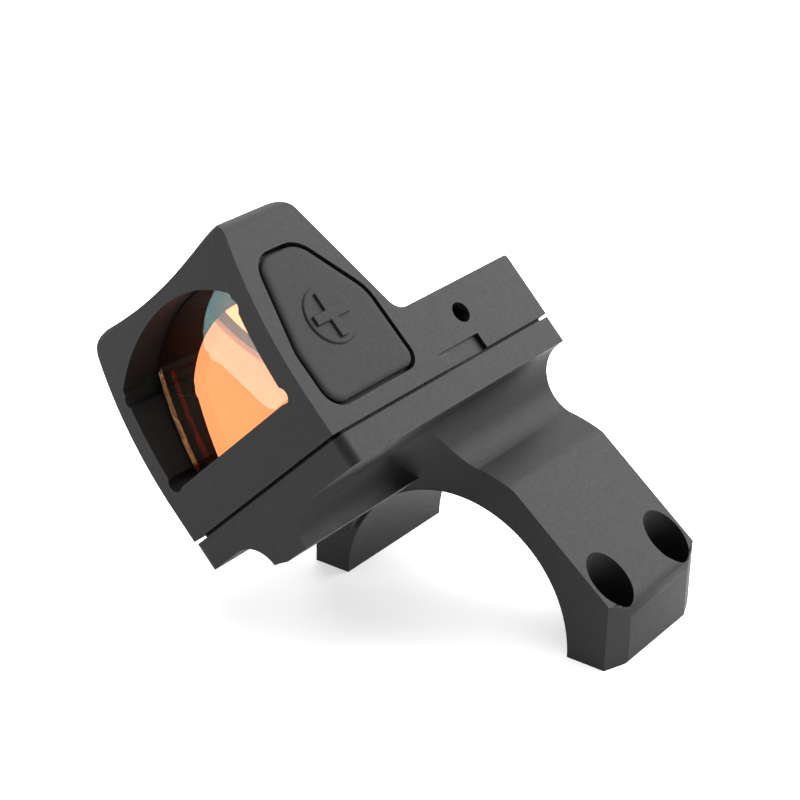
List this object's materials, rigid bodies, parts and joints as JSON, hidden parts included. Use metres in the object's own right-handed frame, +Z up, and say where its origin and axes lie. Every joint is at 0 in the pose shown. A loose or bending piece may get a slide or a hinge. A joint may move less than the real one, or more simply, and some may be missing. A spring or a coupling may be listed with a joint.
{
  "type": "reflex red dot sight on offset ring cap",
  "caption": "Open reflex red dot sight with a leaning coated lens, on a scope ring cap that tilts it 45 degrees to the side.",
  "frame": {"origin": "on the scope tube's axis, at the middle of the ring's width, in the plane where the ring splits", "axes": "+Y along the tube, rearward to the user's eye; +Z up out of the cap; +X to the user's left, the side that the sight leans away from its platform towards the user's right"},
  "size_m": [0.0654, 0.045, 0.0534],
  "materials": {
    "anodised_aluminium": "matte black hard anodised over fine bead blasting",
    "button_rubber": "matte moulded rubber",
    "seal_rubber": "black seal",
    "black_steel": "black oxide",
    "steel": "plain steel",
    "coated_glass": "polished, dichroic coating that reflects orange and passes blue-green",
    "clear_glass": "polished",
    "board_green": "solder mask",
    "chip_black": "moulded package",
    "gilt_bronze": "gold flash on spring bronze",
    "flex_amber": "polyimide film",
    "machined_aluminium": "machined",
    "led_body": "cast resin"
  },
  "bodies": {
    "sight_and_cap": {"ring_cap": "anodised_aluminium", "locating_posts": "steel", "mounting_screws": "black_steel", "sealing_plate": "black_steel", "battery_gasket": "seal_rubber", "housing": "anodised_aluminium", "lens": "coated_glass", "lens_bond": "seal_rubber", "left_switch_dome": "steel", "right_switch_dome": "steel", "circuit_board": "board_green", "controller_chip": "chip_black", "battery": "steel", "centre_contact": "gilt_bronze", "rim_contact": "gilt_bronze", "emitter_flex": "flex_amber", "emitter_window": "clear_glass", "detent_balls": "steel", "detent_springs": "steel", "return_spring": "steel", "side_plug": "black_steel"},
    "left_button": {"left_button": "button_rubber"},
    "right_button": {"right_button": "button_rubber"},
    "elevation_screw": {"elevation_screw": "black_steel", "elevation_seal": "seal_rubber", "elevation_clip": "steel"},
    "windage_screw": {"windage_screw": "black_steel", "windage_seal": "seal_rubber", "windage_clip": "steel"},
    "elevation_block": {"elevation_block": "machined_aluminium"},
    "emitter_carriage": {"emitter_carriage": "machined_aluminium", "led_emitter": "led_body"}
  },
  "joints": [
    {"name": "left_button_press", "type": "slide", "parent": "sight_and_cap", "child": "left_button", "axis": [-0.7071, 0, -0.7071], "range_m": [0, 0.0004], "stiffness_N_per_m": 4000},
    {"name": "right_button_press", "type": "slide", "parent": "sight_and_cap", "child": "right_button", "axis": [0.7071, 0, 0.7071], "range_m": [0, 0.0004], "stiffness_N_per_m": 4000},
    {"name": "elevation_turn", "type": "hinge", "parent": "sight_and_cap", "child": "elevation_screw", "pos_m": [-0.01789, 0.0023, 0.02963], "axis": [-0.7071, 0, 0.7071], "range_deg": [-450, 450]},
    {"name": "windage_turn", "type": "hinge", "parent": "sight_and_cap", "child": "windage_screw", "pos_m": [-0.02595, -0.0035, 0.01747], "axis": [-0.7071, 0, -0.7071], "range_deg": [-450, 450]},
    {"name": "elevation_travel", "type": "slide", "parent": "sight_and_cap", "child": "elevation_block", "axis": [-0.7071, 0, 0.7071], "range_m": [-0.0004, 0.0004]},
    {"name": "windage_travel", "type": "slide", "parent": "elevation_block", "child": "emitter_carriage", "axis": [0.7071, 0, 0.7071], "range_m": [-0.0004, 0.0004]}
  ],
  "couplings": [
    {"joint": "elevation_turn", "follows": "elevation_travel", "rad_per_m": 19630},
    {"joint": "windage_turn", "follows": "windage_travel", "rad_per_m": 19630}
  ]
}
